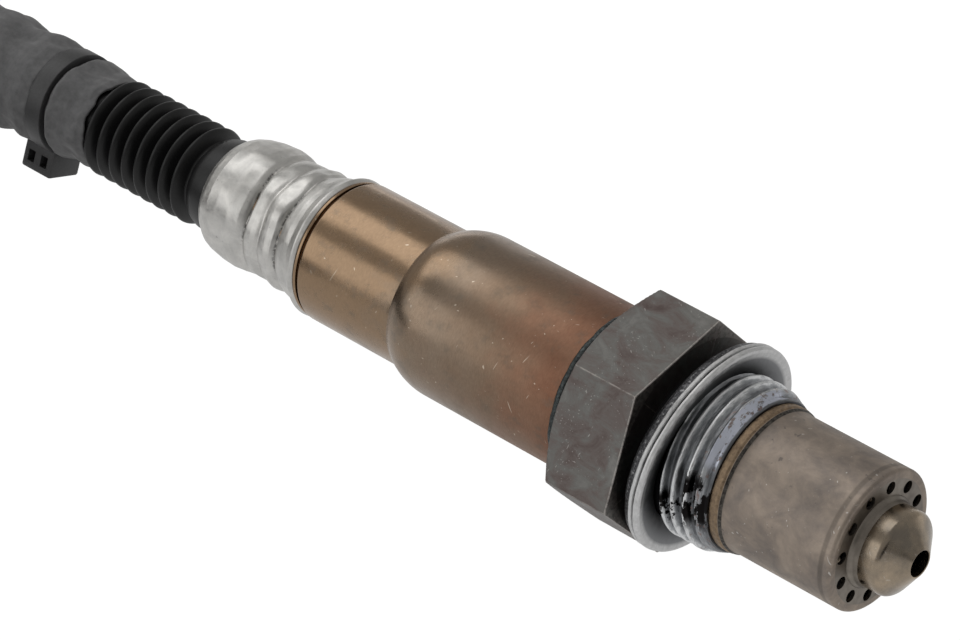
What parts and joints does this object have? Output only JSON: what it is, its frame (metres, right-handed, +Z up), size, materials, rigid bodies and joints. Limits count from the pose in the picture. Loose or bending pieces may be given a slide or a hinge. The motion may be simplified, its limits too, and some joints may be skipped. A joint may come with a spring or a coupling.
{
  "type": "oxygen sensor",
  "caption": "Threaded exhaust gas oxygen sensor with hexagon, folded gasket, vented tip, stepped sleeve, crimped cap, ribbed boot and a sheathed lead coiled to its plug.",
  "frame": {"origin": "centre of the hexagon's front face, on the sensor's axis", "axes": "+X along the axis towards the gas end, +Z up from the bench that the sensor lies on"},
  "size_m": [0.2353, 0.1259, 0.024],
  "materials": {
    "housing_steel": "dark machined steel with brown heat stains",
    "gasket_steel": "bright sheet steel",
    "tube_steel": "warm grey drawn stainless steel, lightly scratched",
    "nozzle_steel": "polished stainless steel",
    "sleeve_steel": "stainless steel tinted bronze by heat",
    "cap_steel": "bright silver steel, rolled in rings",
    "ceramic": "white alumina",
    "element_ceramic": "pale grey zirconia",
    "powder": "pressed talc",
    "spring_steel": "plain spring steel",
    "contact_metal": "nickel-plated contact strip",
    "grommet_plastic": "heat-proof white plastic",
    "lead_insulation": "thin wire insulation",
    "boot_rubber": "black rubber, slightly shiny",
    "sheath_cloth": "dark grey coated cloth sheath",
    "tie_plastic": "black nylon",
    "plug_plastic": "black moulded nylon",
    "seal_rubber": "rust-red silicone",
    "lock_plastic": "pale grey nylon"
  },
  "bodies": {
    "root": {"sensor_housing": "housing_steel", "captive_gasket": "gasket_steel", "outer_protection_tube": "tube_steel", "inner_protection_tube": "nozzle_steel", "sensing_element": "element_ceramic", "front_ceramic_bush": "ceramic", "powder_seal": "powder", "rear_ceramic_bush": "ceramic", "seal_clamp_washer": "spring_steel", "outer_sleeve": "sleeve_steel", "contact_holder": "ceramic", "holder_spring_ring": "spring_steel", "contact_springs": "contact_metal", "lead_wires": "lead_insulation", "wire_grommet": "grommet_plastic", "crimp_cap": "cap_steel", "bellows_boot": "boot_rubber", "sheath_cuff": "sheath_cloth", "cable_tie": "tie_plastic", "sheath_lead": "sheath_cloth", "sheath_coil": "sheath_cloth", "sheath_tail": "sheath_cloth", "coil_tie": "tie_plastic", "plug_housing": "plug_plastic", "plug_wire_seal": "seal_rubber", "plug_terminal_lock": "lock_plastic", "plug_nose_ring": "seal_rubber", "plug_terminals": "contact_metal"}
  },
  "joints": []
}
